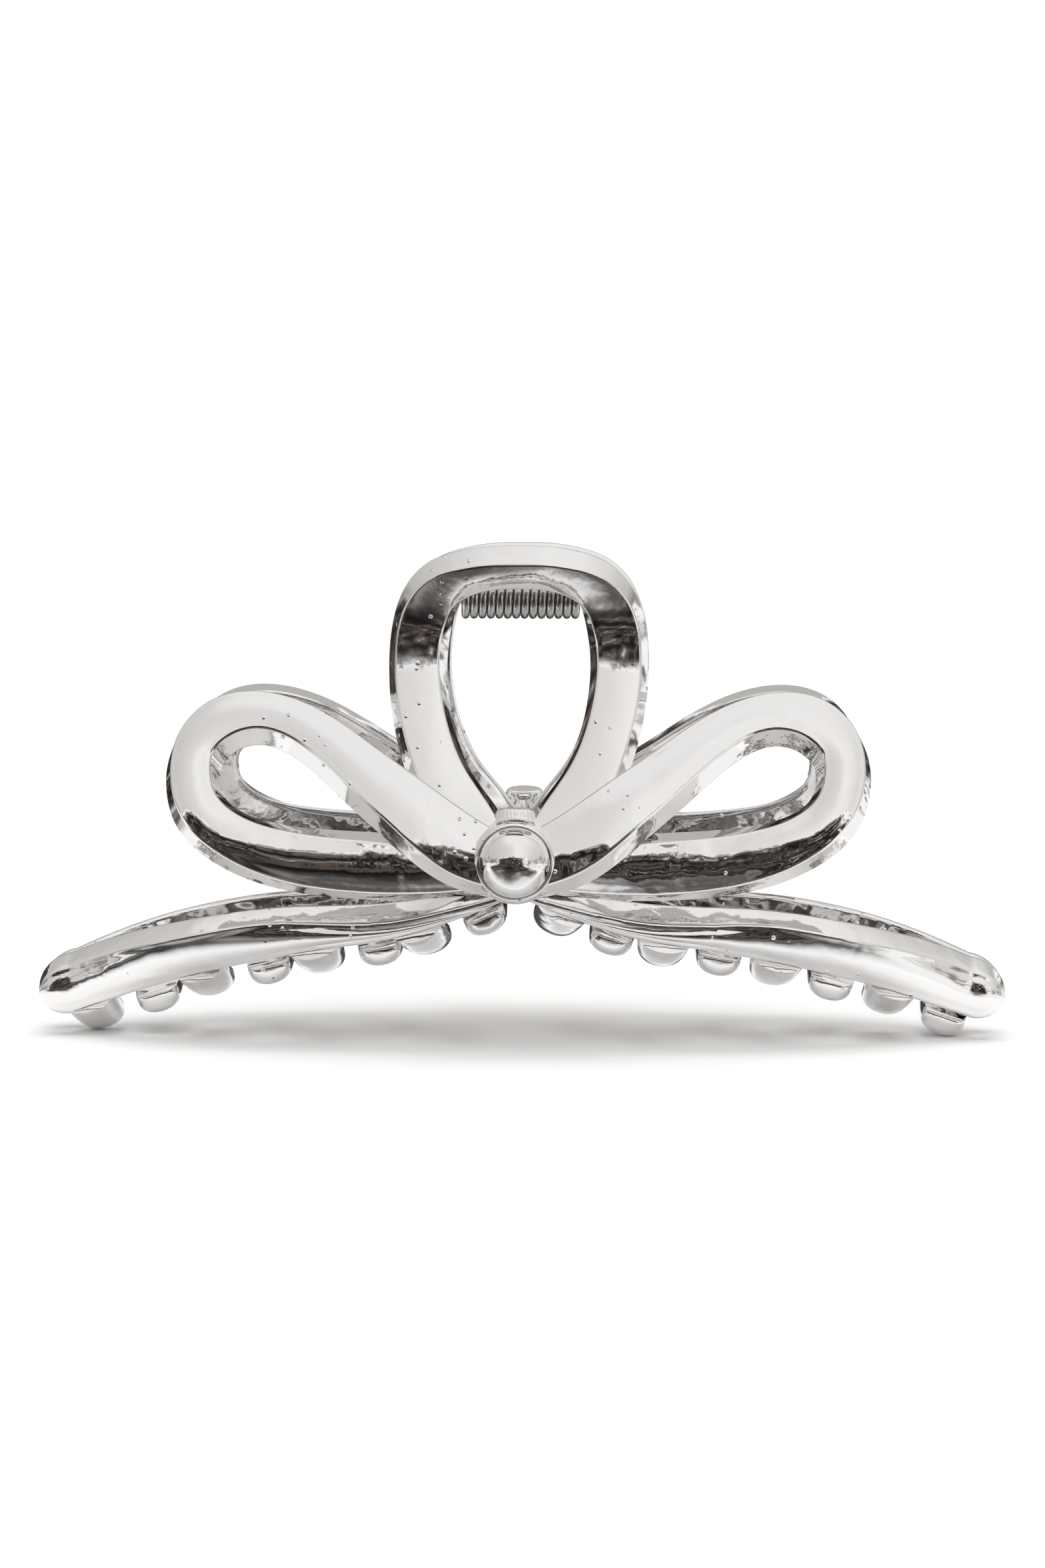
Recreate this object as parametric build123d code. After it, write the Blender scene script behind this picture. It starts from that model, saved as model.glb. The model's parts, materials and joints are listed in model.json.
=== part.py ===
"""Bow-shaped claw hair clip, in millimetres.

Two identical one-piece jaws face each other across the plane y = 0. Each is a bow: a centre loop that
is also the finger handle, two side loops, a round knot on a collar and two tails with curved teeth. The
rear jaw is the front jaw turned half a turn about the vertical axis, so that the teeth and the hinge
lugs interleave. A steel pin joins the lugs, and a torsion spring on the pin presses the handles apart
and the jaws shut.

+Z is up with the handles at the top, X runs along the clip, and the front jaw is on the -Y side. The
origin is under the middle of the clip, at the height of its lowest teeth.
"""

from build123d import *
import os
import numpy as np

# Whole clip
PIVOT_Z = 57.0  # height of the hinge axis above the drawing datum

# Depth of the jaw's outer face from the middle plane, by height: (z, depth)
DEPTH_PROFILE = [
    (-3, 1.2), (1, 4.2), (5, 7.2), (9, 10.2), (13, 13.2), (16, 15.4), (19, 17.2), (22, 18.1), (25, 18.0),
    (30, 16.6), (35, 14.2), (40, 11.5), (45, 9.1), (50, 7.7), (54, 7.6), (57.5, 8.8), (60, 10.4), (62, 12.2),
    (64, 14.3), (67, 17.9),
]
LOOP_SETBACK = 1.5  # how far the side loops' ends fall back towards the middle plane
LOOP_REACH = 45.0  # distance from the middle at which that setback is complete

# Strands: (x, z, half width of the outer face, lift above the depth profile)
CENTRE_STRAND = [
    (3.0, 25.0, 2.5, -1.9), (6.2, 29.3, 2.95, -1.7), (9.3, 33.7, 3.0, -1.2), (11.7, 39.3, 2.95, -0.5),
    (13.0, 45.0, 2.95, -0.1), (13.25, 49.5, 2.95, 0.0), (12.5, 54.0, 2.95, 0.0), (10.5, 57.2, 2.6, 0.0),
    (7.0, 59.0, 2.0, 0.0), (3.5, 59.7, 1.75, 0.0), (0.0, 59.8, 1.7, 0.0),
]
UPPER_STRAND = [
    (0.5, 23.0, 3.3, 1.2), (6.5, 25.6, 3.8, 1.2), (13.0, 30.3, 3.5, 1.1), (19.4, 35.1, 3.0, 0.7),
    (26.3, 40.1, 2.5, 0.4), (33.3, 42.6, 2.35, 0.2), (39.6, 41.2, 2.7, 0.1), (42.2, 38.1, 2.7, 0.0),
    (42.6, 34.8, 2.7, 0.0),
]
LOWER_STRAND = [
    (42.6, 34.8, 2.7, 0.0), (41.3, 30.5, 2.7, 0.0), (37.2, 26.8, 2.8, -0.1), (31.1, 24.3, 3.2, -0.2),
    (24.1, 23.0, 3.45, -0.4), (16.0, 22.4, 3.4, -0.5), (8.5, 22.0, 2.7, -0.6), (0.5, 22.2, 1.9, -0.6),
]
STRAND_THICKNESS = 3.2
STRAND_FLARE = 0.9  # how much wider each side is at the back
STRAND_BEVEL = 0.5  # bevel along the front edges
UPPER_TILT = 0.25  # how far each strand of a side loop leans back as it rises
LOWER_TILT = 0.12

# Tails: (x, z of the bottom edge, z of the ridge, z of the top edge, depth of the bottom edge, and how
# much deeper the ridge is)
TAIL = [
    (1.0, 18.4, 19.2, 20.6, 16.9, 0.2),
    (4.0, 16.9, 18.2, 20.0, 16.0, 0.5),
    (10.0, 14.4, 16.4, 18.6, 14.2, 0.9),
    (17.0, 12.3, 14.9, 17.4, 12.7, 0.85),
    (25.0, 11.0, 14.6, 16.9, 11.7, 0.9),
    (33.0, 9.4, 14.5, 16.5, 10.5, 1.6),
    (41.0, 7.5, 13.2, 15.3, 9.1, 3.0),
    (49.0, 5.2, 11.5, 13.5, 7.4, 2.5),
    (56.0, 2.8, 9.4, 11.2, 5.7, 0.9),
    (60.5, 1.2, 7.6, 9.3, 4.7, 0.3),
    (63.0, 0.9, 6.2, 7.7, 4.3, 0.2),
    (64.6, 2.3, 4.7, 5.7, 4.2, 0.1),
]
TAIL_THICKNESS = 3.2
TAIL_TOP_DEPTH = 2.9  # how far the top facet runs back from the ridge

# Knot and neck
KNOT_Z = 23.6
KNOT_RADIUS = 4.6
KNOT_CENTRE_DEPTH = 19.6
COLLAR_RADIUS = 5.5
COLLAR_FACE_RADIUS = 4.75
COLLAR_FACE_DEPTH = 20.0
COLLAR_SEAT_DEPTH = 18.6
BOSS_BACK_DEPTH = 14.4
# The neck: (z, half width), from inside the collar to its flat top
NECK = [(24.6, 5.2), (27.2, 4.0), (28.8, 2.6), (30.1, 2.75)]
NECK_LIFT = 0.35  # how far its front stands above the depth profile
NECK_HALF_DEPTH = 1.9

# Teeth, on the front jaw, evenly spaced; turned half a turn they fall between themselves
TOOTH_COUNT = 8
TOOTH_PITCH = 14.75
FIRST_TOOTH_X = -55.5
TOOTH_WIDTH = 7.2
TOOTH_TIP_WIDTH = 5.6
TOOTH_BELLY = 2.3  # depth of the rounded underside
TOOTH_BACK = 1.0  # depth above it, to the flat back
TOOTH_REACH = 2.4  # how far the tips pass the middle plane
TOOTH_DROP_AT_CENTRE = 5.0  # from the tail's bottom edge to the underside of the tip
TOOTH_DROP_AT_END = 4.3

# Hinge: eyes on the front jaw, as spans of x; the rear jaw's are the same spans turned half a turn
LUG_SPANS = [(-13.6, -11.6), (9.0, 11.0)]
LUG_RADIUS = 2.5
LUG_ROOT_DEPTH = 7.0
PIN_RADIUS = 0.8
PIN_HOLE_RADIUS = 0.85
PIN_HEAD_RADIUS = 1.5
PIN_HEAD_LENGTH = 0.7
PIN_HALF_LENGTH = 13.75  # to the inside of each head

# Torsion spring
WIRE_RADIUS = 0.54
COIL_RADIUS = 2.45  # to the middle of the wire
COIL_HALF_LENGTH = 7.8
COIL_TURNS = 14
LEG_ANGLE = 75.0  # where the left leg leaves the coil, in degrees above +Y
LEG_LENGTH = 6.9


def natural_spline(knots, values):
    """A function that passes smoothly through the values, given as rows, at the knots."""
    knots = np.asarray(knots, float)
    values = np.asarray(values, float).reshape(len(knots), -1)
    step = np.diff(knots)
    matrix = np.eye(len(knots))
    right = np.zeros_like(values)
    slope = np.diff(values, axis=0) / step[:, None]
    for i in range(1, len(knots) - 1):
        matrix[i, i - 1 : i + 2] = step[i - 1], 2 * (step[i - 1] + step[i]), step[i]
        right[i] = 6 * (slope[i] - slope[i - 1])
    bend = np.linalg.solve(matrix, right)

    def at(where):
        i = int(np.clip(np.searchsorted(knots, where) - 1, 0, len(step) - 1))
        a, b, h = knots[i + 1] - where, where - knots[i], step[i]
        return (
            (bend[i] * a**3 + bend[i + 1] * b**3) / (6 * h)
            + (values[i] / h - bend[i] * h / 6) * a
            + (values[i + 1] / h - bend[i + 1] * h / 6) * b
        )

    return at


depth_at = natural_spline([z for z, _ in DEPTH_PROFILE], [d for _, d in DEPTH_PROFILE])
tail_at = natural_spline([row[0] for row in TAIL], [row[1:] for row in TAIL])


def face_point(x, z, lift=0.0, setback=0.0):
    """The point of the front jaw's outer face at x and z."""
    back = setback * (x / LOOP_REACH) ** 2
    return Vector(x, -(depth_at(z)[0] + lift - back), z)


def strand_path(stations):
    """A smooth function along the stations, and the distance along it of every station."""
    rows = np.array(stations, float)
    steps = np.hypot(np.diff(rows[:, 0]), np.diff(rows[:, 1]))
    marks = np.concatenate([[0.0], np.cumsum(steps)])
    return natural_spline(marks, rows), marks


def strand_section(path, s, setback, tilt, side):
    """The bar's outline at s, square to the strand: a bevelled face, and sides that flare backwards."""
    x, z, half, lift = path(s)
    ahead, behind = path(s + 0.05), path(s - 0.05)
    along = (ahead - behind)[:2] / np.hypot(*(ahead - behind)[:2])
    lean = tilt * along[0] * half
    left = face_point(x - along[1] * half, z + along[0] * half, lift - lean, setback)
    right = face_point(x + along[1] * half, z - along[0] * half, lift + lean, setback)
    across = (left - right).normalized()
    ahead_point = face_point(ahead[0], ahead[1], lift, setback)
    behind_point = face_point(behind[0], behind[1], lift, setback)
    outward = across.cross(ahead_point - behind_point).normalized()
    if outward.Y > 0:
        outward = -outward
    middle = (left + right) * 0.5
    reach = (left - right).length / 2
    corners = [
        (reach - STRAND_BEVEL, 0),
        (reach, -STRAND_BEVEL),
        (reach + STRAND_FLARE, -STRAND_THICKNESS),
        (-reach - STRAND_FLARE, -STRAND_THICKNESS),
        (-reach, -STRAND_BEVEL),
        (-reach + STRAND_BEVEL, 0),
    ]
    points = [middle + across * u + outward * v for u, v in corners]
    return Wire.make_polygon([Vector(side * p.X, p.Y, p.Z) for p in points], close=True)


def strand(path, start, stop, setback, tilt, side, sections=15):
    """The length of a strand from start to stop, as one bar."""
    wires = [strand_section(path, s, setback, tilt, side) for s in np.linspace(start, stop, sections)]
    return Solid.make_loft(wires)


def centre_loop(side):
    """One half of the centre loop, from the knot to the middle of its top."""
    mirrored = [(-x, z, half, lift) for x, z, half, lift in CENTRE_STRAND[-2::-1]]
    path, marks = strand_path(CENTRE_STRAND + mirrored)
    return [strand(path, 0.1, marks[len(CENTRE_STRAND) - 1], 0.0, 0.0, side)]


def side_loop(side):
    """A side loop: over the front from the knot, round the far end, and back beneath."""
    path, marks = strand_path(UPPER_STRAND + LOWER_STRAND[1:])
    turn = marks[len(UPPER_STRAND) - 1]
    return [
        strand(path, 0.1, turn, LOOP_SETBACK, UPPER_TILT, side),
        strand(path, turn, marks[-1] - 0.1, LOOP_SETBACK, LOWER_TILT, side),
    ]


def tail_corners(x):
    """The tail's section at x: bottom edge, ridge, top edge, then the two back corners, as (depth, z)."""
    low, ridge, top, depth, overhang = tail_at(x)
    front_low = (depth, low)
    front_ridge = (front_low[0] + overhang, ridge)
    face = np.array([front_ridge[0] - front_low[0], ridge - low])
    inward = np.array([-face[1], face[0]]) / np.hypot(*face)
    back_low = np.array(front_low) + inward * TAIL_THICKNESS
    top_depth = front_ridge[0] - TAIL_TOP_DEPTH
    back_top = (top_depth - 0.9, top - 0.5)
    return [front_low, front_ridge, (top_depth, top), back_top, tuple(back_low)]


def tail(side, sections=16):
    """One tail of the bow, from inside the knot out to its rounded tip."""
    wires = []
    first, last = TAIL[0][0], TAIL[-1][0]
    for share in np.linspace(0, 1, sections):
        x = first + (last - first) * (1 - (1 - share) ** 1.4)
        points = [Vector(side * x, -depth, z) for depth, z in tail_corners(x)]
        wires.append(Wire.make_polygon(points, close=True))
    return Solid.make_loft(wires)


def tooth(tip_x):
    """A curved tooth, flat on the back and round below, from the tail's lower edge across the middle plane."""
    side = 1 if tip_x > 0 else -1
    share = min(abs(tip_x) / 56.0, 1.0)
    drop = TOOTH_DROP_AT_CENTRE + (TOOTH_DROP_AT_END - TOOTH_DROP_AT_CENTRE) * share
    slope = side * (tail_at(abs(tip_x) + 1.5)[0] - tail_at(abs(tip_x) - 0.5)[0]) / 2.0
    along = Vector(1, 0, slope).normalized()
    down = Vector(slope, 0, -1).normalized()
    root_x = tip_x - down.X * drop
    low, _, _, depth, _ = tail_at(abs(root_x))
    root = Vector(root_x, 1.6 - depth, low) - down * 1.2
    tip = Vector(root_x, TOOTH_REACH, low) + down * (drop - TOOTH_BELLY)
    wires = []
    for t in (0.0, 0.25, 0.5, 0.75, 1.0):
        sag = 0.6 * np.sin(np.pi * t)
        point = root + (tip - root) * t + down * sag
        heading = (tip - root) + down * (0.6 * np.pi * np.cos(np.pi * t))
        half = (TOOTH_WIDTH + (TOOTH_TIP_WIDTH - TOOTH_WIDTH) * t**2) / 2
        belly = TOOTH_BELLY * (0.8 if t == 1.0 else 1.0)
        arc = EllipticalCenterArc((0, 0), half, belly, start_angle=0, arc_size=180)
        flat = Polyline((-half, 0), (-half, -TOOTH_BACK), (half, -TOOTH_BACK), (half, 0))
        plane = Plane(origin=point, x_dir=along, z_dir=heading.normalized())
        wires.append(plane * Wire(arc.edges() + flat.edges()))
    return Solid.make_loft(wires)


def lug(span):
    """A hinge eye: a plate from the back of the centre loop to a round end about the hinge axis."""
    start, end = span
    plane = Plane(origin=(start, 0, PIVOT_Z), x_dir=(0, 1, 0), z_dir=(1, 0, 0))
    root = [
        (0, LUG_RADIUS),
        (-LUG_ROOT_DEPTH + 1.6, 0.6),
        (-LUG_ROOT_DEPTH, -LUG_RADIUS - 0.8),
        (0, -LUG_RADIUS),
    ]
    outline = Circle(LUG_RADIUS) + make_face(Polyline(*root, close=True))
    return extrude(plane * outline, end - start)


def knot():
    """The round knot, its collar and boss, and the neck that rises between the loops."""
    facing = Plane(origin=(0, 0, KNOT_Z), x_dir=(1, 0, 0), z_dir=(0, -1, 0))
    back = facing.offset(BOSS_BACK_DEPTH) * Circle(COLLAR_RADIUS)
    boss = extrude(back, COLLAR_SEAT_DEPTH - BOSS_BACK_DEPTH)
    seat = facing.offset(COLLAR_SEAT_DEPTH) * Circle(COLLAR_RADIUS)
    face = facing.offset(COLLAR_FACE_DEPTH) * Circle(COLLAR_FACE_RADIUS)
    collar = loft([seat, face])
    ball = Pos(0, -KNOT_CENTRE_DEPTH, KNOT_Z) * Sphere(KNOT_RADIUS)
    ends = [face_point(0, z, NECK_LIFT - NECK_HALF_DEPTH) for z, _ in (NECK[0], NECK[-1])]
    rise = (ends[1] - ends[0]).normalized()
    rings = []
    for z, half_width in NECK:
        middle = ends[0] + rise * ((z - NECK[0][0]) / rise.Z)
        plane = Plane(origin=middle, x_dir=(1, 0, 0), z_dir=rise)
        rings.append(plane * Ellipse(half_width, NECK_HALF_DEPTH))
    neck = loft(rings)
    return [boss, collar, ball, neck]


def front_jaw():
    pieces = knot()
    for side in (1, -1):
        pieces += centre_loop(side) + side_loop(side) + [tail(side)]
    pieces += [tooth(FIRST_TOOTH_X + TOOTH_PITCH * i) for i in range(TOOTH_COUNT)]
    pieces += [lug(span) for span in LUG_SPANS]
    jaw = pieces[0]
    for piece in pieces[1:]:
        jaw = jaw + piece
    plane = Plane(origin=(-20, 0, PIVOT_Z), x_dir=(0, 1, 0), z_dir=(1, 0, 0))
    return jaw - extrude(plane * Circle(PIN_HOLE_RADIUS), 40)


def hinge_pin():
    plane = Plane(origin=(0, 0, PIVOT_Z), x_dir=(0, 1, 0), z_dir=(1, 0, 0))
    shaft = extrude(plane * Circle(PIN_RADIUS), PIN_HALF_LENGTH, both=True)
    for end in (PIN_HALF_LENGTH, -PIN_HALF_LENGTH - PIN_HEAD_LENGTH):
        shaft = shaft + extrude(plane.offset(end) * Circle(PIN_HEAD_RADIUS), PIN_HEAD_LENGTH)
    return shaft


def torsion_spring():
    """A close-wound left-hand coil along X with a leg at each end; the legs rest behind the two handles."""
    turns = COIL_TURNS - (180 - 2 * LEG_ANGLE) / 360
    pitch = 2 * COIL_HALF_LENGTH / turns
    path = Edge.make_helix(pitch, 2 * COIL_HALF_LENGTH, COIL_RADIUS, lefthand=True)
    angle = np.radians(LEG_ANGLE)
    turned = (0, np.cos(angle), np.sin(angle))
    axis = Plane(origin=(-COIL_HALF_LENGTH, 0, PIVOT_Z), x_dir=turned, z_dir=(1, 0, 0))
    path = Wire([axis * path])
    section = Plane(origin=path @ 0, z_dir=path % 0) * Circle(WIRE_RADIUS)
    coil = sweep(section, path=path, is_frenet=True)
    for end, heading in ((path @ 0, (path % 0) * -1), (path @ 1, path % 1)):
        leg = extrude(Plane(origin=end, z_dir=heading) * Circle(WIRE_RADIUS), LEG_LENGTH)
        coil = coil + leg + Pos(*end) * Sphere(WIRE_RADIUS)
    return coil


def main():
    os.makedirs("parts", exist_ok=True)
    front = front_jaw()
    lift = Location((0, 0, -front.bounding_box().min.Z))
    front = lift * front
    print("hinge axis height", round(PIVOT_Z + lift.position.Z, 3))
    export_step(front, "parts/front_jaw.step")
    export_step(front.rotate(Axis.Z, 180), "parts/rear_jaw.step")
    export_step(lift * hinge_pin(), "parts/hinge_pin.step")
    export_step(lift * torsion_spring(), "parts/torsion_spring.step")


main()
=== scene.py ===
import json
import math

import bmesh
import bpy
import numpy as np
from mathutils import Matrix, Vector


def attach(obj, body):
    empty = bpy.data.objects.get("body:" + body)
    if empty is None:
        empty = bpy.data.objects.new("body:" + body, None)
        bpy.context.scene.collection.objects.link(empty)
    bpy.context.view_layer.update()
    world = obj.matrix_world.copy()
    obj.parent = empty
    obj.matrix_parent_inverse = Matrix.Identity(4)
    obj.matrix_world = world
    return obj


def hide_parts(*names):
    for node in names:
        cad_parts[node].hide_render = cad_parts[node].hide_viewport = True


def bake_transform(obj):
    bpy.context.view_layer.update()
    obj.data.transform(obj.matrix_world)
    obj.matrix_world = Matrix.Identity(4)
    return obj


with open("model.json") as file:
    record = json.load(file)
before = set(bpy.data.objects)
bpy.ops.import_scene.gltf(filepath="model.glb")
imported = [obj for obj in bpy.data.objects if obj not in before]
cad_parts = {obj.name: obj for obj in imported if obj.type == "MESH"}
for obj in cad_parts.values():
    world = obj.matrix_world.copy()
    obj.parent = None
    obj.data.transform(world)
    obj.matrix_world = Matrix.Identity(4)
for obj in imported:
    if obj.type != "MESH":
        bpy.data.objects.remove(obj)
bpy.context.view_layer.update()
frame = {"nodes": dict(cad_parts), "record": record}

MM = 0.001
PIVOT_Z = 57.0
hinge = next(j for j in frame["record"]["behaviour"]["joints"] if j["name"] == "jaw_hinge")
LIFT = hinge["pos_m"][2] / MM - PIVOT_Z  # from the drawing datum to the lowest teeth

# ---------------------------------------------------------------- shape data, as in the CAD, in millimetres
# Depth of a jaw's outer face from the middle plane, by height: (z, depth)
DEPTH_PROFILE = [
    (-3, 1.2), (1, 4.2), (5, 7.2), (9, 10.2), (13, 13.2), (16, 15.4), (19, 17.2), (22, 18.1), (25, 18.0),
    (30, 16.6), (35, 14.2), (40, 11.5), (45, 9.1), (50, 7.7), (54, 7.6), (57.5, 8.8), (60, 10.4), (62, 12.2),
    (64, 14.3), (67, 17.9),
]
LOOP_SETBACK, LOOP_REACH = 1.5, 45.0  # how far the side loops fall back, and where that is complete
# Strands: (x, z, half width of the face, lift above the depth profile)
CENTRE_STRAND = [
    (3.0, 25.0, 2.5, -1.9), (6.2, 29.3, 2.95, -1.7), (9.3, 33.7, 3.0, -1.2), (11.7, 39.3, 2.95, -0.5),
    (13.0, 45.0, 2.95, -0.1), (13.25, 49.5, 2.95, 0.0), (12.5, 54.0, 2.95, 0.0), (10.5, 57.2, 2.6, 0.0),
    (7.0, 59.0, 2.0, 0.0), (3.5, 59.7, 1.75, 0.0), (0.0, 59.8, 1.7, 0.0),
]
UPPER_STRAND = [
    (0.5, 23.0, 3.3, 1.2), (6.5, 25.6, 3.8, 1.2), (13.0, 30.3, 3.5, 1.1), (19.4, 35.1, 3.0, 0.7),
    (26.3, 40.1, 2.5, 0.4), (33.3, 42.6, 2.35, 0.2), (39.6, 41.2, 2.7, 0.1), (42.2, 38.1, 2.7, 0.0),
    (42.6, 34.8, 2.7, 0.0),
]
LOWER_STRAND = [
    (42.6, 34.8, 2.7, 0.0), (41.3, 30.5, 2.7, 0.0), (37.2, 26.8, 2.8, -0.1), (31.1, 24.3, 3.2, -0.2),
    (24.1, 23.0, 3.45, -0.4), (16.0, 22.4, 3.4, -0.5), (8.5, 22.0, 2.7, -0.6), (0.5, 22.2, 1.9, -0.6),
]
STRAND_THICKNESS, STRAND_FLARE, STRAND_BACK_ROUND = 3.2, 0.9, 0.45
UPPER_TILT, LOWER_TILT = 0.25, 0.12
CENTRE_CROWN, CENTRE_BEVEL = 0.12, 0.4
LOOP_CROWN, LOOP_BEVEL = 0.55, 0.5
# Tails: (x, z of the bottom edge, z of the ridge, z of the top edge, depth of the bottom edge, and how
# much deeper the ridge is)
TAIL = [
    (1.0, 18.4, 19.2, 20.6, 16.9, 0.2),
    (4.0, 16.9, 18.2, 20.0, 16.0, 0.5),
    (10.0, 14.4, 16.4, 18.6, 14.2, 0.9),
    (17.0, 12.3, 14.9, 17.4, 12.7, 0.85),
    (25.0, 11.0, 14.6, 16.9, 11.7, 0.9),
    (33.0, 9.4, 14.5, 16.5, 10.5, 1.6),
    (41.0, 7.5, 13.2, 15.3, 9.1, 3.0),
    (49.0, 5.2, 11.5, 13.5, 7.4, 2.5),
    (56.0, 2.8, 9.4, 11.2, 5.7, 0.9),
    (60.5, 1.2, 7.6, 9.3, 4.7, 0.3),
    (63.0, 0.9, 6.2, 7.7, 4.3, 0.2),
    (64.6, 2.3, 4.7, 5.7, 4.2, 0.1),
]
TAIL_THICKNESS, TAIL_TOP_DEPTH, TAIL_CROWN = 3.2, 2.9, 0.62
TIP_START, TIP_FRONT, TIP_BACK = 60.0, 4.1, 4.6  # where a tail starts to round off, and how far it goes on
KNOT_Z, KNOT_RADIUS, KNOT_DEPTH = 23.6, 4.6, 19.6
COLLAR_RADIUS, COLLAR_SEAT_DEPTH, BOSS_BACK_DEPTH = 5.5, 18.9, 14.4
# The neck: (z, half width)
NECK = [(24.6, 5.2), (27.2, 4.0), (28.8, 2.6), (30.1, 2.75)]
NECK_LIFT, NECK_HALF_DEPTH, NECK_EDGE_ROUND, NECK_CREASE = 0.35, 1.9, 0.9, 0.035
TOOTH_COUNT, TOOTH_PITCH, FIRST_TOOTH_X = 8, 14.75, -55.5
TOOTH_WIDTH, TOOTH_TIP_WIDTH, TOOTH_BELLY, TOOTH_BACK, TOOTH_REACH = 7.2, 5.6, 2.3, 1.0, 2.4
TOOTH_DROP_AT_CENTRE, TOOTH_DROP_AT_END = 5.0, 4.3
TOOTH_SAG = 0.6
TOOTH_DOME = 0.16  # the share of a tooth's length over which its end rounds off
TOOTH_CORNER = 0.25
LUG_SPANS = [(-13.6, -11.6), (9.0, 11.0)]
LUG_RADIUS, LUG_ROOT_DEPTH, PIN_HOLE_RADIUS = 2.5, 7.0, 0.85
WIRE_RADIUS, COIL_RADIUS, COIL_HALF_LENGTH, COIL_TURNS = 0.54, 2.45, 7.8, 14
LEG_ANGLE, LEG_LENGTH = 75.0, 6.9  # the angle is where the left leg leaves the coil, above +Y


# ---------------------------------------------------------------- curves
def natural_spline(knots, values):
    """A function that passes smoothly through the values, given as rows, at the knots."""
    knots = np.asarray(knots, float)
    values = np.asarray(values, float).reshape(len(knots), -1)
    step = np.diff(knots)
    matrix = np.eye(len(knots))
    right = np.zeros_like(values)
    slope = np.diff(values, axis=0) / step[:, None]
    for i in range(1, len(knots) - 1):
        matrix[i, i - 1 : i + 2] = step[i - 1], 2 * (step[i - 1] + step[i]), step[i]
        right[i] = 6 * (slope[i] - slope[i - 1])
    bend = np.linalg.solve(matrix, right)

    def at(where):
        i = int(np.clip(np.searchsorted(knots, where) - 1, 0, len(step) - 1))
        a, b, h = knots[i + 1] - where, where - knots[i], step[i]
        return (
            (bend[i] * a**3 + bend[i + 1] * b**3) / (6 * h)
            + (values[i] / h - bend[i] * h / 6) * a
            + (values[i + 1] / h - bend[i + 1] * h / 6) * b
        )

    return at


depth_spline = natural_spline([z for z, _ in DEPTH_PROFILE], [d for _, d in DEPTH_PROFILE])
tail_at = natural_spline([row[0] for row in TAIL], [row[1:] for row in TAIL])


def depth_at(z):
    return float(depth_spline(z)[0])


def face_point(x, z, lift=0.0, setback=0.0):
    """The point of the front jaw's outer face at x and z."""
    return np.array([x, -(depth_at(z) + lift - setback * (x / LOOP_REACH) ** 2), z])


def unit(v):
    return v / np.linalg.norm(v)


def strand_path(stations):
    """A smooth function along the stations, and the distance along it of every station."""
    rows = np.array(stations, float)
    steps = np.hypot(np.diff(rows[:, 0]), np.diff(rows[:, 1]))
    marks = np.concatenate([[0.0], np.cumsum(steps)])
    return natural_spline(marks, rows), marks


def rounded_outline(corners, rounds, steps=5):
    """A closed outline through 3-D corners, each rounded over the given distance along its two sides."""
    points = []
    count = len(corners)
    for i, corner in enumerate(corners):
        before, after = corners[i - 1], corners[(i + 1) % count]
        a = corner + unit(before - corner) * min(rounds[i], 0.45 * np.linalg.norm(before - corner))
        b = corner + unit(after - corner) * min(rounds[i], 0.45 * np.linalg.norm(after - corner))
        for t in np.linspace(0, 1, steps):
            points.append((1 - t) ** 2 * a + 2 * t * (1 - t) * corner + t**2 * b)
    return points


# ---------------------------------------------------------------- meshes
def new_object(name, points, faces):
    mesh = bpy.data.meshes.new(name)
    mesh.from_pydata([tuple(p) for p in points], [], faces)
    bm = bmesh.new()
    bm.from_mesh(mesh)
    bmesh.ops.recalc_face_normals(bm, faces=bm.faces)
    bm.to_mesh(mesh)
    bm.free()
    obj = bpy.data.objects.new(name, mesh)
    bpy.context.scene.collection.objects.link(obj)
    return obj


def tube(name, rings):
    """A closed solid through rings of points, given in millimetres above the datum; made in metres."""
    rings = np.array(rings, float)
    n, m = rings.shape[:2]
    points = (rings.reshape(-1, 3) + [0, 0, LIFT]) * MM
    caps = (np.array([rings[0].mean(0), rings[-1].mean(0)]) + [0, 0, LIFT]) * MM
    points = np.vstack([points, caps])
    faces = []
    for i in range(n - 1):
        for j in range(m):
            k = (j + 1) % m
            faces.append((i * m + j, i * m + k, (i + 1) * m + k, (i + 1) * m + j))
    for j in range(m):
        k = (j + 1) % m
        faces.append((j, n * m, k))
        faces.append(((n - 1) * m + j, (n - 1) * m + k, n * m + 1))
    return new_object(name, points, faces)


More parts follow.
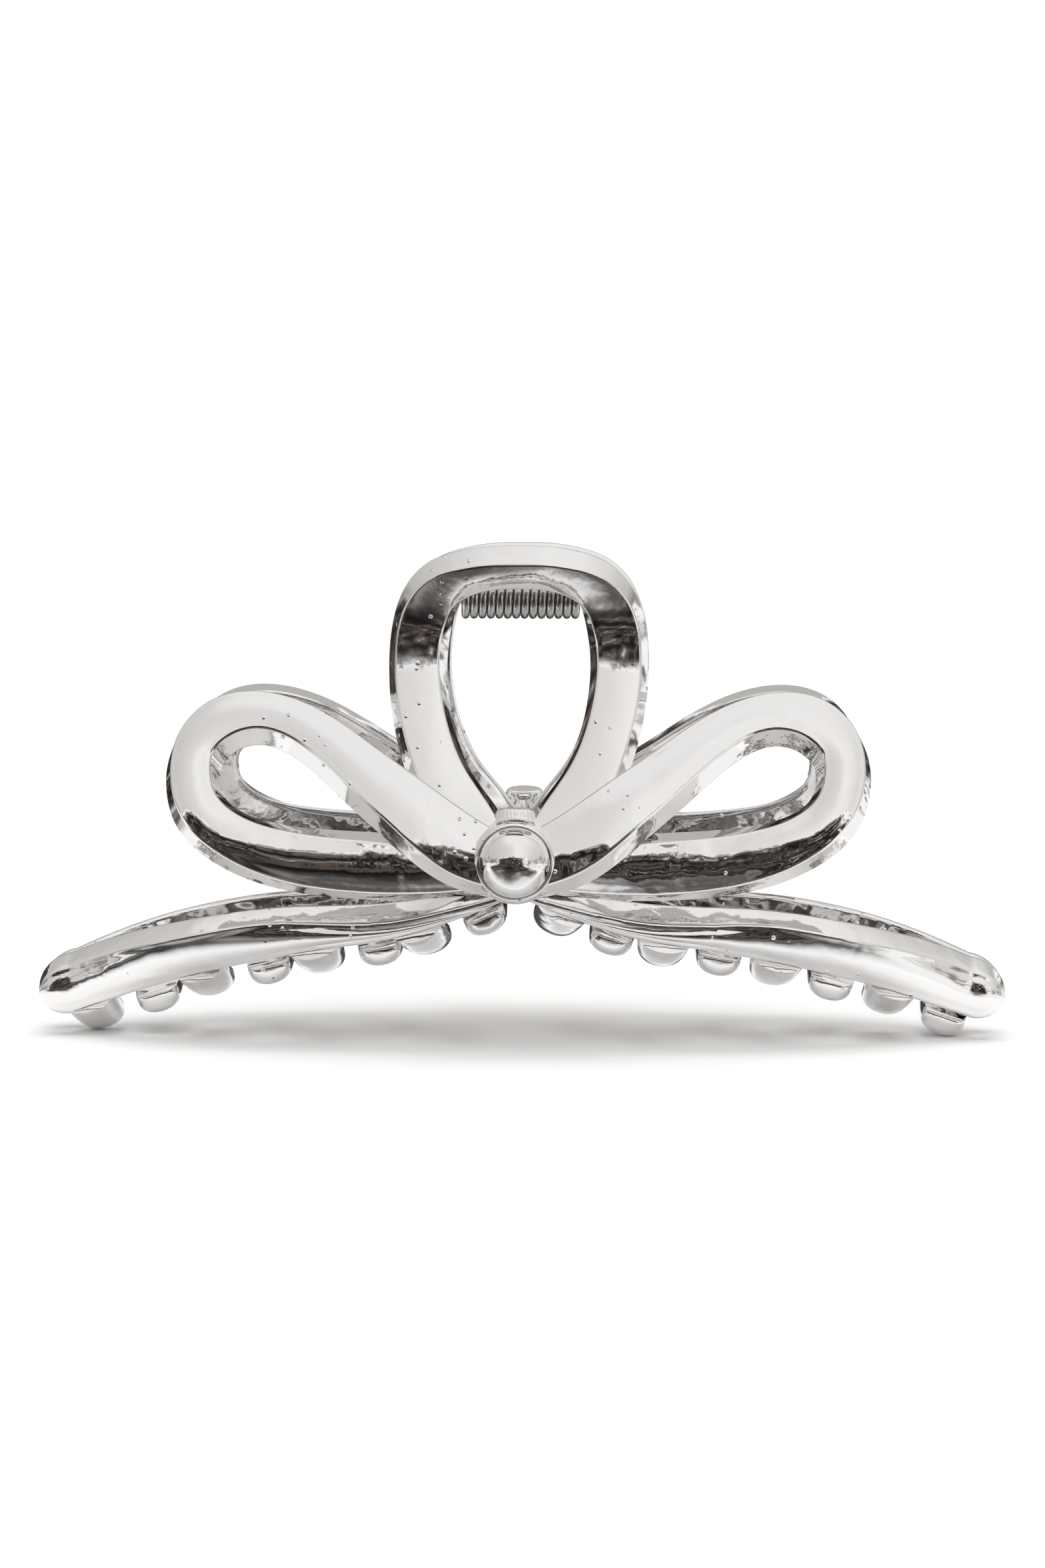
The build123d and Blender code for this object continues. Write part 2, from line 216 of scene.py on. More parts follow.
def strand_ring(path, s, setback, tilt, side, crown, bevel):
    """The bar's outline at s: a crowned face, rounded edges, and sides that flare backwards."""
    x, z, half, lift = path(s)
    ahead, behind = path(s + 0.05), path(s - 0.05)
    along = (ahead - behind)[:2] / np.hypot(*(ahead - behind)[:2])
    lean = tilt * along[0] * half
    left = face_point(x - along[1] * half, z + along[0] * half, lift - lean, setback)
    right = face_point(x + along[1] * half, z - along[0] * half, lift + lean, setback)
    across = unit(left - right)
    ahead_point = face_point(ahead[0], ahead[1], lift, setback)
    behind_point = face_point(behind[0], behind[1], lift, setback)
    outward = unit(np.cross(across, ahead_point - behind_point))
    if outward[1] > 0:
        outward = -outward
    middle, reach = (left + right) / 2, np.linalg.norm(left - right) / 2
    inner, wide = reach - bevel, reach + STRAND_FLARE
    back = STRAND_BACK_ROUND
    outline = []
    for u in np.linspace(-inner, inner, 11):
        outline.append((u, crown * (1 - (u / inner) ** 2)))
    for a in np.linspace(18, 84, 5):
        a = math.radians(a)
        outline.append((inner + bevel * math.sin(a), -bevel + bevel * math.cos(a)))
    for a in np.linspace(5, 85, 4):
        a = math.radians(a)
        outline.append((wide - back + back * math.cos(a), -STRAND_THICKNESS + back - back * math.sin(a)))
    for u in np.linspace(wide - 2.2 * back, -wide + 2.2 * back, 3):
        outline.append((u, -STRAND_THICKNESS))
    for a in np.linspace(85, 5, 4):
        a = math.radians(a)
        outline.append((-wide + back - back * math.cos(a), -STRAND_THICKNESS + back - back * math.sin(a)))
    for a in np.linspace(84, 18, 5):
        a = math.radians(a)
        outline.append((-inner - bevel * math.sin(a), -bevel + bevel * math.cos(a)))
    points = [middle + across * u + outward * v for u, v in outline]
    return [(side * p[0], p[1], p[2]) for p in points]


def strand(name, path, start, stop, setback, tilt, side, crown, bevel, pitch=0.5):
    """The length of a strand from start to stop, as one bar."""
    places = np.linspace(start, stop, int((stop - start) / pitch))
    return tube(name, [strand_ring(path, s, setback, tilt, side, crown, bevel) for s in places])


def centre_loop():
    """The whole centre loop in one piece, from the knot over the top and back."""
    mirrored = [(-x, z, half, lift) for x, z, half, lift in CENTRE_STRAND[-2::-1]]
    path, marks = strand_path(CENTRE_STRAND + mirrored)
    return [strand("centre", path, 0.1, marks[-1] - 0.1, 0.0, 0.0, 1, CENTRE_CROWN, CENTRE_BEVEL)]


def side_loop(side):
    """A side loop: over the front from the knot, round the far end, and back beneath."""
    path, marks = strand_path(UPPER_STRAND + LOWER_STRAND[1:])
    turn, end = marks[len(UPPER_STRAND) - 1], marks[-1] - 0.1
    return [
        strand("upper", path, 0.1, turn, LOOP_SETBACK, UPPER_TILT, side, LOOP_CROWN, LOOP_BEVEL),
        strand("lower", path, turn, end, LOOP_SETBACK, LOWER_TILT, side, LOOP_CROWN, LOOP_BEVEL),
    ]


def tail_ring(x_front, x_back, share, side):
    """The tail's outline; share shrinks it about its middle line towards the rounded tip."""
    low, ridge, top, depth, overhang = tail_at(min(x_front, TIP_START))
    past = max(0.0, x_front - TIP_START)
    drift = (tail_at(TIP_START) - tail_at(TIP_START - 1.0)) * past * 0.35
    low, ridge, top = low + drift[0], ridge + drift[1], top + drift[2]
    waist = 0.46 * low + 0.54 * ridge
    lean = overhang / (ridge - low)
    waist_depth = depth + lean * (waist - low) - 0.9 * (1 - share)
    low, ridge, top = [waist + (z - waist) * share for z in (low, ridge, top)]
    a = np.array([x_front, -(waist_depth + lean * (low - waist)), low])
    b = np.array([x_front, -(waist_depth + lean * (ridge - waist)), ridge])
    inward = unit(np.array([0, 1.0, lean]))
    thickness = TAIL_THICKNESS - 0.5 * (1 - share)
    back_low = a + inward * thickness + np.array([x_back - x_front, 0, -0.3 * (1 - share)])
    top_y = b[1] + TAIL_TOP_DEPTH - 0.3 * (1 - share)
    top_point = np.array([x_back, top_y, top])
    back_top = np.array([x_back, top_y + 0.9, top - 0.5 * share])
    crown = TAIL_CROWN * share
    outward = -inward
    corners = [a, b, top_point, back_top, back_low]
    ring = rounded_outline(corners, [0.9, 0.55, 0.5, 0.4, 0.6])
    start, stop = ring[4], ring[5]
    bulge = []
    for t in np.linspace(0, 1, 13)[1:-1]:
        bulge.append(start + (stop - start) * t + outward * crown * 4 * t * (1 - t))
    ring = ring[:5] + bulge + ring[5:]
    return [(side * p[0], p[1], p[2]) for p in ring]


def tail(side):
    """One tail of the bow, from inside the knot out to its rounded tip."""
    rings = []
    for x in np.linspace(1.0, TIP_START, 95)[:-1]:
        rings.append(tail_ring(x, x, 1.0, side))
    for angle in np.linspace(0, 86, 22):
        a = math.radians(angle)
        x_front = TIP_START + TIP_FRONT * math.sin(a)
        x_back = TIP_START + TIP_BACK * math.sin(a)
        rings.append(tail_ring(x_front, x_back, max(math.cos(a), 0.06), side))
    return tube("tail", rings)


def tooth(tip_x):
    """A curved tooth, flat on the back and round below, from the tail's edge to a domed end."""
    side = 1 if tip_x > 0 else -1
    share = min(abs(tip_x) / 56.0, 1.0)
    drop = TOOTH_DROP_AT_CENTRE + (TOOTH_DROP_AT_END - TOOTH_DROP_AT_CENTRE) * share
    slope = side * (tail_at(abs(tip_x) + 1.5)[0] - tail_at(abs(tip_x) - 0.5)[0]) / 2.0
    along = unit(np.array([1, 0, slope]))
    down = unit(np.array([slope, 0, -1.0]))
    root_x = tip_x - down[0] * drop
    low, _, _, depth, _ = tail_at(abs(root_x))
    root = np.array([root_x, 1.6 - depth, low]) - down * 1.2
    tip = np.array([root_x, TOOTH_REACH, low]) + down * (drop - TOOTH_BELLY)
    rings = []
    places = list(np.linspace(0, 1 - TOOTH_DOME, 14))
    places += [1 - TOOTH_DOME * f for f in (0.8, 0.6, 0.42, 0.27, 0.15, 0.07, 0.02, 0.0)]
    for t in places:
        point = root + (tip - root) * t + down * TOOTH_SAG * math.sin(math.pi * t)
        heading = unit((tip - root) + down * (TOOTH_SAG * math.pi * math.cos(math.pi * t)))
        below = np.cross(heading, along)
        end = (1 - max(0.0, (t - 1 + TOOTH_DOME) / TOOTH_DOME) ** 2.4) ** (1 / 2.4)
        half = (TOOTH_WIDTH + (TOOTH_TIP_WIDTH - TOOTH_WIDTH) * t) / 2 - 1.5 * (1 - end)
        belly = TOOTH_BELLY * (1 - 0.15 * t**4) - 1.2 * (1 - end)
        back = TOOTH_BACK - 0.7 * (1 - end)
        outline = []
        for a in np.radians(np.linspace(0, 180, 21)):
            c, s = math.cos(a), math.sin(a)
            outline.append((half * np.sign(c) * abs(c) ** 0.92, belly * s**0.95))
        corner, nick = TOOTH_CORNER, 0.3 * TOOTH_CORNER
        outline += [(-half, -back + corner), (-half + nick, -back + nick), (-half + corner, -back)]
        outline.append((0, -back - 0.05))
        outline += [(half - corner, -back), (half - nick, -back + nick), (half, -back + corner)]
        rings.append([point + along * u + below * v for u, v in outline])
    return tube("tooth", rings)


def lathe(name, profile, centre_z, segments=112):
    """A solid of revolution about a line along Y; profile holds (radius, depth) pairs."""
    rings = []
    for radius, depth in profile:
        ring = []
        for a in np.linspace(0, 2 * math.pi, segments, endpoint=False):
            ring.append((radius * math.cos(a), -depth, centre_z + radius * math.sin(a)))
        rings.append(ring)
    return tube(name, rings)


def knot():
    """The boss, the rolled collar, a fine groove and the ball, as one turned outline."""
    profile = [
        (COLLAR_RADIUS - 0.1, BOSS_BACK_DEPTH),
        (COLLAR_RADIUS, BOSS_BACK_DEPTH + 0.2),
        (COLLAR_RADIUS, COLLAR_SEAT_DEPTH),
    ]
    for t in np.linspace(0.08, 1, 12):
        bulge = 1.1 * math.sin(t * math.pi / 2) ** 1.1
        profile.append((COLLAR_RADIUS - 0.75 * t, COLLAR_SEAT_DEPTH + bulge))
    profile += [(4.66, 19.93), (4.58, 19.8)]
    start = math.asin((19.85 - KNOT_DEPTH) / KNOT_RADIUS)
    for a in np.linspace(start, math.radians(88.8), 44):
        profile.append((KNOT_RADIUS * math.cos(a), KNOT_DEPTH + KNOT_RADIUS * math.sin(a)))
    return lathe("knot", profile, KNOT_Z)


def neck():
    """A saddle between the centre loop's limbs, with a rounded top and fine creases in its front."""
    foot = face_point(0, NECK[0][0], NECK_LIFT - NECK_HALF_DEPTH)
    top = face_point(0, NECK[-1][0], NECK_LIFT - NECK_HALF_DEPTH)
    rise = unit(top - foot)
    forward = np.cross([1.0, 0, 0], rise)
    if forward[1] > 0:
        forward = -forward
    width_at = natural_spline([z for z, _ in NECK], [w for _, w in NECK])
    start, stop = NECK[0][0], NECK[-1][0]
    edge = NECK_EDGE_ROUND
    heights = list(np.linspace(start, stop - edge, 26))
    heights += [stop - edge * f for f in (0.75, 0.5, 0.28, 0.12, 0.03, 0)]
    rings = []
    for z in heights:
        lost = edge - math.sqrt(max(0.0, edge**2 - max(0.0, z - stop + edge) ** 2))
        middle = foot + rise * ((z - start) / rise[2])
        crease = NECK_CREASE * max(0.0, 1 - abs(z - stop + 1.1) / 1.1)
        ring = []
        for a in np.linspace(0, 2 * math.pi, 150, endpoint=False):
            across = (float(width_at(z)[0]) - lost) * math.cos(a)
            ripple = crease * (math.sin(13.0 * across + 2.0 * z) + 0.6 * math.sin(22.3 * across + 1.0))
            front = (NECK_HALF_DEPTH - lost) * math.sin(a) + (ripple if math.sin(a) > 0 else 0.0)
            ring.append(middle + np.array([across, 0, 0]) + forward * front)
        rings.append(ring)
    return tube("neck", rings)


def lug(span):
    """A hinge eye with softened edges, on a root that runs back into the centre loop."""
    outline = []
    for a in np.radians(np.linspace(90, -90, 25)):
        outline.append((LUG_RADIUS * math.cos(a), LUG_RADIUS * math.sin(a)))
    outline += [(-LUG_ROOT_DEPTH, -LUG_RADIUS - 0.8), (-LUG_ROOT_DEPTH + 1.6, 0.6)]
    outline = np.array(outline)
    middle = np.array([-1.5, -0.3])
    slices = [(span[0], 0.3), (span[0] + 0.12, 0.1), (span[0] + 0.35, 0.0)]
    slices += [(span[1] - 0.35, 0.0), (span[1] - 0.12, 0.1), (span[1], 0.3)]
    rings = []
    for x, shrink in slices:
        ring = []
        for y, z in outline:
            away = np.array([y, z]) - middle
            y, z = np.array([y, z]) - unit(away) * shrink
            ring.append((x, y, PIVOT_Z + z))
        rings.append(ring)
    return tube("lug", rings)


def pin_hole():
    """The bore that is cut through both lugs."""
    rings = []
    for x in (-16, 16):
        rings.append([(x, PIN_HOLE_RADIUS * math.cos(a), PIVOT_Z + PIN_HOLE_RADIUS * math.sin(a))
                      for a in np.linspace(0, 2 * math.pi, 32, endpoint=False)])
    return tube("hole", rings)


def combine(base, others, operation):
    """Joins the others to the base, or cuts them from it, as one closed mesh."""
    for other in others:
        step = base.modifiers.new("join", "BOOLEAN")
        step.operation = operation
        step.solver = "MANIFOLD"
        step.object = other
    bpy.context.view_layer.update()
    depsgraph = bpy.context.evaluated_depsgraph_get()
    mesh = bpy.data.meshes.new_from_object(base.evaluated_get(depsgraph))
    base.modifiers.clear()
    old = base.data
    base.data = mesh
    bpy.data.meshes.remove(old)
    for other in others:
        bpy.data.objects.remove(other)
    return base


def front_jaw():
    """The whole front jaw as one closed shell, smooth but for its real edges."""
    pieces = centre_loop()
    for side in (1, -1):
        pieces += side_loop(side) + [tail(side)]
    pieces += [tooth(FIRST_TOOTH_X + TOOTH_PITCH * i) for i in range(TOOTH_COUNT)]
    pieces += [neck()] + [lug(span) for span in LUG_SPANS]
    jaw = combine(knot(), pieces, "UNION")
    jaw = combine(jaw, [pin_hole()], "DIFFERENCE")
    for polygon in jaw.data.polygons:
        polygon.use_smooth = True
    jaw.data.set_sharp_from_angle(angle=math.radians(34))
    return jaw


def turned_copy(obj, name):
    """A copy of the object, turned half a turn about the vertical axis."""
    mesh = obj.data.copy()
    co = np.empty(len(mesh.vertices) * 3, np.float32)
    mesh.vertices.foreach_get("co", co)
    co = co.reshape(-1, 3) * [-1, -1, 1]
    mesh.vertices.foreach_set("co", co.ravel())
    mesh.update()
    copy = bpy.data.objects.new(name, mesh)
    bpy.context.scene.collection.objects.link(copy)
    return copy


def spring():
    """The coil and its two legs as one wire."""
    turns = COIL_TURNS - (180 - 2 * LEG_ANGLE) / 360
    start, total = math.radians(LEG_ANGLE), 2 * math.pi * turns
    line, count = [], int(turns * 40)
    for i in range(count + 1):
        t = i / count
        a = start - total * t
        x = -COIL_HALF_LENGTH + 2 * COIL_HALF_LENGTH * t
        line.append(np.array([x, COIL_RADIUS * math.cos(a), PIVOT_Z + COIL_RADIUS * math.sin(a)]))
    first, last = unit(line[0] - line[1]), unit(line[-1] - line[-2])
    steps = np.linspace(0.25, LEG_LENGTH, 14)
    line = [line[0] + first * s for s in steps[::-1]] + line + [line[-1] + last * s for s in steps]
    rings = []
    for i, point in enumerate(line):
        heading = unit(line[min(i + 1, len(line) - 1)] - line[max(i - 1, 0)])
        side = unit(np.cross(heading, [1.0, 0, 0]))
        other = np.cross(heading, side)
        radius = WIRE_RADIUS
        if i in (0, len(line) - 1):
            radius *= 0.8
        rings.append([point + (side * math.cos(a) + other * math.sin(a)) * radius
                      for a in np.linspace(0, 2 * math.pi, 14, endpoint=False)])
    return tube("spring", rings)


# ---------------------------------------------------------------- materials
def material(name):
    mat = bpy.data.materials.new(name)
    mat.use_nodes = True
    return mat, mat.node_tree.nodes, mat.node_tree.links, mat.node_tree.nodes["Principled BSDF"]


def math_node(nodes, links, operation, *inputs):
    node = nodes.new("ShaderNodeMath")
    node.operation = operation
    for i, value in enumerate(inputs):
        if isinstance(value, (int, float)):
            node.inputs[i].default_value = value
        else:
            links.new(value, node.inputs[i])
    return node.outputs[0]


def smooth_range(nodes, links, value, low, high):
    """0 where the value is at low, 1 where it is at high, and smooth in between."""
    node = nodes.new("ShaderNodeMapRange")
    node.interpolation_type = "SMOOTHSTEP"
    node.inputs["From Min"].default_value = low
    node.inputs["From Max"].default_value = high
    links.new(value, node.inputs["Value"])
    return node.outputs["Result"]


def plated():
    """Bright plating over moulded plastic: slow waviness, crinkles low down, pimples and a light haze."""
    mat, nodes, links, shader = material("plated_silver")
    shader.inputs["Base Color"].default_value = (0.90, 0.89, 0.885, 1)
    shader.inputs["Metallic"].default_value = 1.0
    place = nodes.new("ShaderNodeTexCoord").outputs["Object"]

    def noise(scale, detail, rough=0.5):
        node = nodes.new("ShaderNodeTexNoise")
        node.inputs["Scale"].default_value = scale
        node.inputs["Detail"].default_value = detail
        node.inputs["Roughness"].default_value = rough
        links.new(place, node.inputs["Vector"])
        return node.outputs["Fac"]

    cells = nodes.new("ShaderNodeTexVoronoi")
    cells.inputs["Scale"].default_value = 600
    links.new(place, cells.inputs["Vector"])
    rare = nodes.new("ShaderNodeSeparateColor")
    links.new(cells.outputs["Color"], rare.inputs["Color"])
    crowded = smooth_range(nodes, links, noise(70, 2.0), 0.46, 0.68)
    chosen = math_node(nodes, links, "GREATER_THAN", crowded, rare.outputs["Red"])
    bead = smooth_range(nodes, links, cells.outputs["Distance"], 0.20, 0.04)
    spot = nodes.new("ShaderNodeSeparateXYZ")
    links.new(place, spot.inputs[0])
    depth = math_node(nodes, links, "ABSOLUTE", spot.outputs[1])
    off_knot = smooth_range(nodes, links, depth, 0.0208, 0.0198)
    allowed = math_node(nodes, links, "MULTIPLY", chosen, off_knot)
    pimples = math_node(nodes, links, "MULTIPLY", bead, allowed)

    slow = noise(150, 1.0)
    calm = smooth_range(nodes, links, noise(90, 1.0), 0.35, 0.6)
    roughened = math_node(nodes, links, "MULTIPLY_ADD", calm, 0.13, 0.025)
    ragged = math_node(nodes, links, "MULTIPLY", noise(600, 2.5, 0.5), roughened)
    below = smooth_range(nodes, links, spot.outputs[2], 0.0300, 0.0265)
    here_and_there = smooth_range(nodes, links, noise(110, 1.0), 0.44, 0.56)
    crinkled = math_node(nodes, links, "MULTIPLY", below, here_and_there)
    crinkle_height = math_node(nodes, links, "MULTIPLY", crinkled, 0.70)
    crinkles = math_node(nodes, links, "MULTIPLY", noise(260, 2.0, 0.5), crinkle_height)
    bump = nodes.new("ShaderNodeBump")
    bump.inputs["Strength"].default_value = 1.0
    bump.inputs["Distance"].default_value = 0.00024
    fine = math_node(nodes, links, "ADD", ragged, crinkles)
    links.new(math_node(nodes, links, "ADD", slow, fine), bump.inputs["Height"])
    spots = nodes.new("ShaderNodeBump")
    spots.inputs["Strength"].default_value = 1.0
    spots.inputs["Distance"].default_value = 0.00012
    links.new(pimples, spots.inputs["Height"])
    links.new(bump.outputs["Normal"], spots.inputs["Normal"])
    links.new(spots.outputs["Normal"], shader.inputs["Normal"])

    haze = nodes.new("ShaderNodeMapRange")
    haze.inputs["From Min"].default_value = 0.35
    haze.inputs["From Max"].default_value = 0.75
    haze.inputs["To Min"].default_value = 0.035
    haze.inputs["To Max"].default_value = 0.11
    links.new(noise(60, 4.0, 0.6), haze.inputs["Value"])
    links.new(haze.outputs["Result"], shader.inputs["Roughness"])
    return mat


def steel(name, color, rough):
    """Drawn steel with a fine grain."""
    mat, nodes, links, shader = material(name)
    shader.inputs["Base Color"].default_value = color
    shader.inputs["Metallic"].default_value = 1.0
    place = nodes.new("ShaderNodeTexCoord").outputs["Object"]
    noise = nodes.new("ShaderNodeTexNoise")
    noise.inputs["Scale"].default_value = 900
    noise.inputs["Detail"].default_value = 4
    links.new(place, noise.inputs["Vector"])
    spread = nodes.new("ShaderNodeMapRange")
    spread.inputs["To Min"].default_value = rough * 0.6
    spread.inputs["To Max"].default_value = rough * 1.5
    links.new(noise.outputs["Fac"], spread.inputs["Value"])
    links.new(spread.outputs["Result"], shader.inputs["Roughness"])
    bump = nodes.new("ShaderNodeBump")
    bump.inputs["Strength"].default_value = 0.3
    bump.inputs["Distance"].default_value = 0.00003
    links.new(noise.outputs["Fac"], bump.inputs["Height"])
    links.new(bump.outputs["Normal"], shader.inputs["Normal"])
    return mat


def dress(obj, mat):
    obj.data.materials.clear()
    obj.data.materials.append(mat)


# ---------------------------------------------------------------- the object
plating = plated()
front = front_jaw()
front.name = "front_jaw_shell"
rear = turned_copy(front, "rear_jaw_shell")
for shell, body in ((front, "front_jaw"), (rear, "rear_jaw")):
    dress(shell, plating)
    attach(shell, body)
    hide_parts(body)

coil = spring()
coil.name = "spring_wire"
for polygon in coil.data.polygons:
    polygon.use_smooth = True
dress(coil, steel("spring_wire", (0.66, 0.65, 0.64, 1), 0.12))
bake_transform(coil)
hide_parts("torsion_spring")

pin = frame["nodes"]["hinge_pin"]
dress(pin, steel("pin_steel", (0.74, 0.73, 0.72, 1), 0.22))

# ---------------------------------------------------------------- studio
AZIMUTH, ELEVATION, DISTANCE = math.radians(2.1), math.radians(5.0), 0.5
TARGET_Z = 32.0  # millimetres above the datum
TARGET_SHIFT = 0.00029  # metres to the right
PICTURE_HEIGHT = 2352 / 11250.0  # metres across the picture's height at the target
SENSOR = 36.0  # along the picture's longer side, its height
PAPER = (1.0, 1.0, 1.0, 1)  # how bright the floor and the backdrop look

back = Vector((
    math.sin(AZIMUTH) * math.cos(ELEVATION), -math.cos(AZIMUTH) * math.cos(ELEVATION), math.sin(ELEVATION)
))
right = Vector((math.cos(AZIMUTH), math.sin(AZIMUTH), 0))
target = Vector((0, 0, (TARGET_Z + LIFT) * MM)) + right * TARGET_SHIFT
camera_data = bpy.data.cameras.new("camera")
camera_data.sensor_width = SENSOR
camera_data.lens = SENSOR * DISTANCE / PICTURE_HEIGHT
camera_data.clip_start = 0.01
camera_data.clip_end = 20.0
camera = bpy.data.objects.new("camera", camera_data)
camera.location = target + back * DISTANCE
camera.rotation_euler = back.to_track_quat("Z", "Y").to_euler()
bpy.context.scene.collection.objects.link(camera)
bpy.context.scene.camera = camera


def floor():
    """A plain pale floor, 12 m square."""
    r = 6.0
    obj = new_object("floor", [(-r, -r, 0), (r, -r, 0), (r, r, 0), (-r, r, 0)], [(0, 1, 2, 3)])
    mat, _, _, shader = material("floor")
    shader.inputs["Base Color"].default_value = (0.93, 0.93, 0.93, 1)
    shader.inputs["Roughness"].default_value = 0.9
    shader.inputs["Specular IOR Level"].default_value = 0.0
    dress(obj, mat)


def ramp(nodes, links, value, stops):
    """A colour that follows the value through the stops, given as (position, colour)."""
    node = nodes.new("ShaderNodeValToRGB")
    elements = node.color_ramp.elements
    while len(elements) > 1:
        elements.remove(elements[0])
    for i, (position, color) in enumerate(stops):
        element = elements[0] if i == 0 else elements.new(position)
        element.position = position
        element.color = (*color, 1)
    links.new(value, node.inputs[0])
    return node.outputs[0]


def mixed(nodes, links, share, first, second):
    """The first colour where share is 0 and the second where it is 1; each is a colour or a socket."""
    node = nodes.new("ShaderNodeMix")
    node.data_type = "RGBA"
    links.new(share, node.inputs[0])
    for socket, value in ((node.inputs[6], first), (node.inputs[7], second)):
        if isinstance(value, tuple):
            socket.default_value = value
        else:
            links.new(value, socket)
    return node.outputs[2]


def only_in_reflections(obj):
    """Glowing painted shade that only the plating sees."""
    for sense in ("camera", "diffuse", "shadow", "transmission", "volume_scatter"):
        setattr(obj, "visible_" + sense, False)


def painted_shade_cards():
    """The studio's darker parts: a mat round the clip and a card at each end, glowing with uneven painted
    shade.
    """
    far, top, mat_z = 0.62, 0.32, 0.0003
    gap_x, gap_y = 0.075, 0.022  # the opening in the mat that the clip stands in
    flat = [
        (-far, -far), (far, -far), (far, -gap_y), (-far, -gap_y),
        (-far, gap_y), (far, gap_y), (far, far), (-far, far),
        (-gap_x, -gap_y), (gap_x, -gap_y), (gap_x, gap_y), (-gap_x, gap_y),
    ]
    points = [(x, y, mat_z) for x, y in flat]
    end = far + 0.001
    points += [(far, -end, top), (-far, -end, top), (-far, end, top), (far, end, top)]
    faces = [(0, 1, 2, 3), (4, 5, 6, 7), (3, 8, 11, 4), (9, 2, 5, 10), (0, 1, 12, 13), (6, 7, 14, 15)]
    obj = new_object("painted_shade_cards", points, faces)
    mat = bpy.data.materials.new("painted_shade_cards")
    mat.use_nodes = True
    nodes, links = mat.node_tree.nodes, mat.node_tree.links
    nodes.remove(nodes["Principled BSDF"])
    place = nodes.new("ShaderNodeTexCoord").outputs["Object"]
    parts = nodes.new("ShaderNodeSeparateXYZ")
    links.new(place, parts.inputs[0])
    x, z = parts.outputs[0], parts.outputs[2]
    away = math_node(nodes, links, "ABSOLUTE", parts.outputs[1])
    y = math_node(nodes, links, "MULTIPLY", away, -1.0)  # the end behind is like the one in front
    mottle_noise = nodes.new("ShaderNodeTexNoise")
    mottle_noise.inputs["Scale"].default_value = 16
    mottle_noise.inputs["Detail"].default_value = 3
    links.new(place, mottle_noise.inputs["Vector"])
    # Painted shade: the glow is darkest far off (unlit) and greyer near the clip (half lit), and mottled; on
    # the mat it stands in for the floor's shade as the plating reflects it.
    unlit = ramp(nodes, links, mottle_noise.outputs["Fac"], [
        (0.38, (0.010, 0.009, 0.008)), (0.49, (0.028, 0.025, 0.023)), (0.55, (0.13, 0.105, 0.09)),
        (0.60, (0.05, 0.045, 0.042)), (0.66, (0.38, 0.36, 0.35)), (0.74, (0.75, 0.74, 0.72)),
    ])
    half_lit = ramp(nodes, links, mottle_noise.outputs["Fac"], [
        (0.38, (0.045, 0.043, 0.042)), (0.49, (0.11, 0.107, 0.105)), (0.57, (0.30, 0.295, 0.29)),
        (0.64, (0.7, 0.7, 0.7)),
    ])
    tone = mixed(nodes, links, smooth_range(nodes, links, y, -0.055, -0.13), half_lit, unlit)
    # Where the painted shade shows: in a wedge ahead of the clip, below the cards' tops, and in patches
    # further off. Elsewhere the mat and cards glow as white as the paper.
    reach = math_node(nodes, links, "MULTIPLY_ADD", y, -1.0, 0.10)
    spread = math_node(nodes, links, "DIVIDE", x, reach)
    left = smooth_range(nodes, links, spread, -1.05, -0.80)
    right = smooth_range(nodes, links, spread, 0.60, 0.45)
    onward = smooth_range(nodes, links, y, -0.021, -0.041)
    upward = smooth_range(nodes, links, z, 0.31, 0.24)
    sideways = math_node(nodes, links, "MULTIPLY", left, right)
    lengthways = math_node(nodes, links, "MULTIPLY", onward, upward)
    share = math_node(nodes, links, "MULTIPLY", sideways, lengthways)
    radius = nodes.new("ShaderNodeVectorMath")
    radius.operation = "LENGTH"
    links.new(place, radius.inputs[0])
    distant = smooth_range(nodes, links, radius.outputs["Value"], 0.12, 0.20)
    patches = smooth_range(nodes, links, mottle_noise.outputs["Fac"], 0.55, 0.60)
    patch_share = math_node(nodes, links, "MULTIPLY", distant, patches)
    share = math_node(nodes, links, "MAXIMUM", share, patch_share)
    glow = nodes.new("ShaderNodeEmission")
    links.new(mixed(nodes, links, share, PAPER, tone), glow.inputs["Color"])
    links.new(glow.outputs[0], nodes["Material Output"].inputs["Surface"])
    dress(obj, mat)
    only_in_reflections(obj)


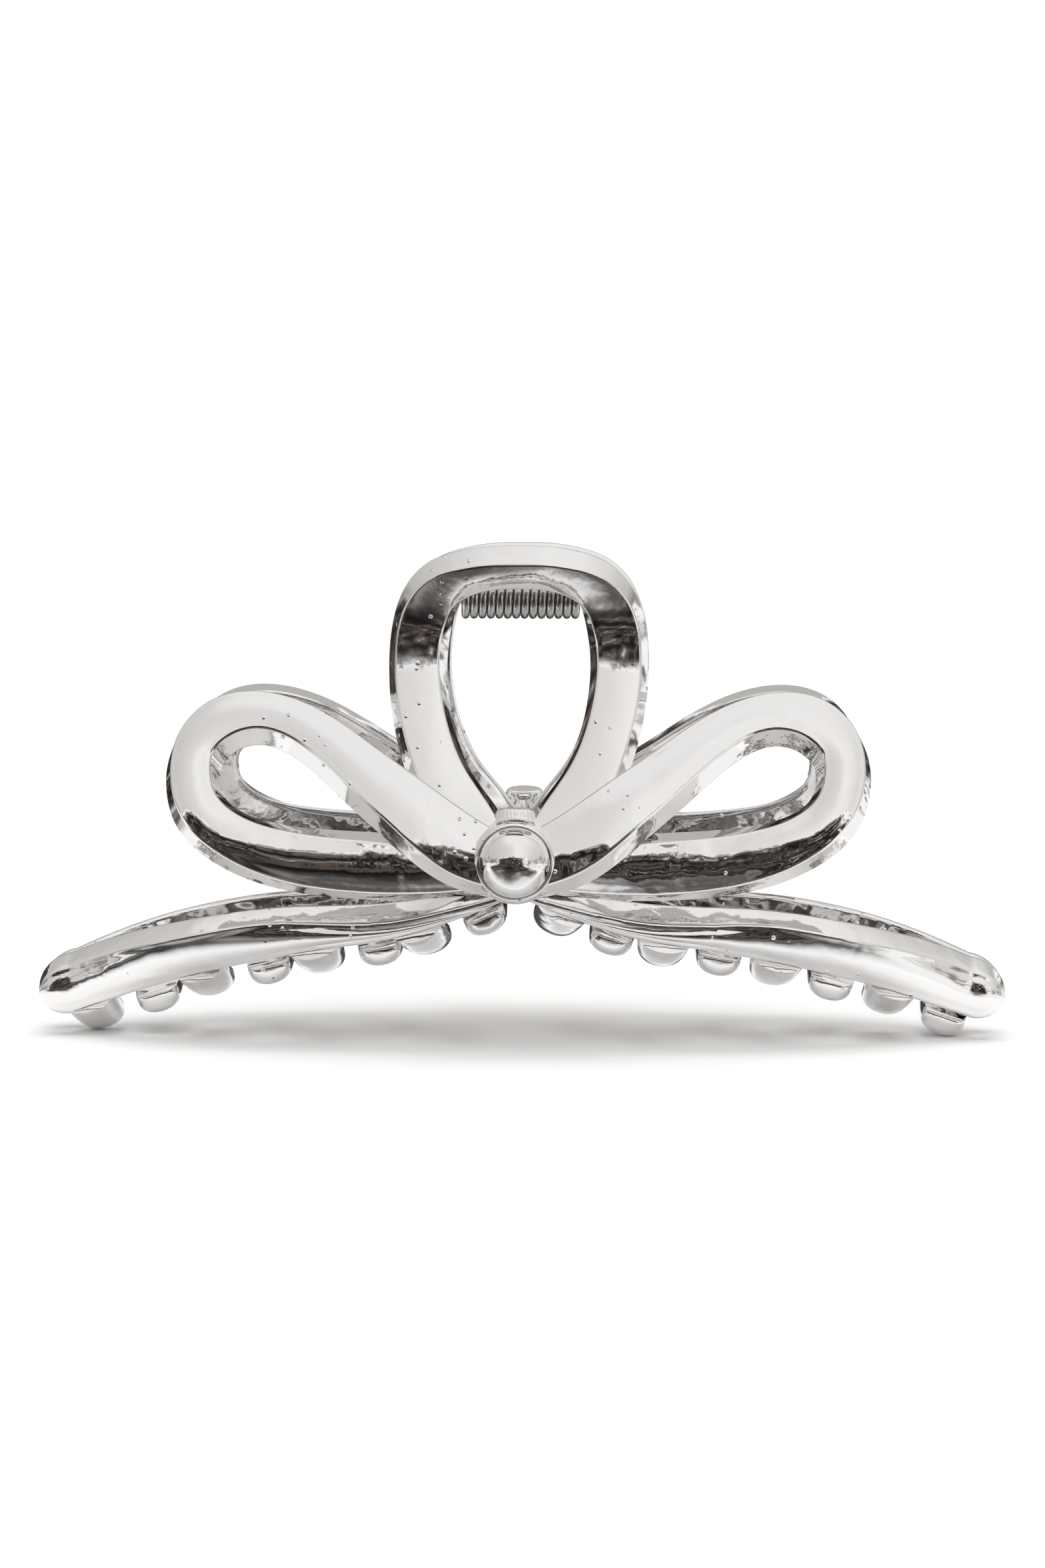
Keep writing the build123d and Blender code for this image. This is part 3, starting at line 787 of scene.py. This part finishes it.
def tent():
    """Paper to the camera itself; in reflections greyer and warmer at the sides, with oddments low down."""
    world = bpy.data.worlds.new("tent")
    bpy.context.scene.world = world
    world.use_nodes = True
    nodes, links = world.node_tree.nodes, world.node_tree.links
    direction = nodes.new("ShaderNodeTexCoord").outputs["Generated"]
    parts = nodes.new("ShaderNodeSeparateXYZ")
    links.new(direction, parts.inputs[0])
    across = math_node(nodes, links, "MULTIPLY_ADD", parts.outputs[0], 0.5, 0.5)
    tone = ramp(nodes, links, across, [
        (0.0, (0.58, 0.57, 0.55)), (0.25, (0.70, 0.69, 0.68)), (0.44, (0.78, 0.775, 0.77)),
        (0.58, (0.93, 0.93, 0.925)), (0.75, (0.88, 0.875, 0.865)), (1.0, (0.66, 0.645, 0.62)),
    ])
    behind = smooth_range(nodes, links, parts.outputs[1], 0.1, 0.8)
    lit = mixed(nodes, links, behind, tone, (0.50, 0.49, 0.475, 1))
    zenith = smooth_range(nodes, links, parts.outputs[2], 0.80, 1.0)
    lit = mixed(nodes, links, zenith, lit, (0.90, 0.90, 0.90, 1))
    mottle_noise = nodes.new("ShaderNodeTexNoise")
    mottle_noise.inputs["Scale"].default_value = 5
    mottle_noise.inputs["Detail"].default_value = 3
    links.new(direction, mottle_noise.inputs["Vector"])
    patches = smooth_range(nodes, links, mottle_noise.outputs["Fac"], 0.42, 0.60)
    low = smooth_range(nodes, links, parts.outputs[2], 0.30, 0.16)
    patch_share = math_node(nodes, links, "MULTIPLY", patches, low)
    lit = mixed(nodes, links, patch_share, lit, (0.24, 0.23, 0.22, 1))
    seen = nodes.new("ShaderNodeLightPath").outputs["Is Camera Ray"]
    links.new(mixed(nodes, links, seen, lit, PAPER), nodes["Background"].inputs["Color"])


def overhead():
    """A broad soft light from above that lights the floor and doesn't show in the plating."""
    data = bpy.data.lights.new("overhead", "SUN")
    data.energy = 1.5
    data.angle = math.radians(60)
    obj = bpy.data.objects.new("overhead", data)
    obj.visible_glossy = False
    bpy.context.scene.collection.objects.link(obj)


floor()
painted_shade_cards()
tent()
overhead()

bpy.context.scene.view_settings.view_transform = "Standard"
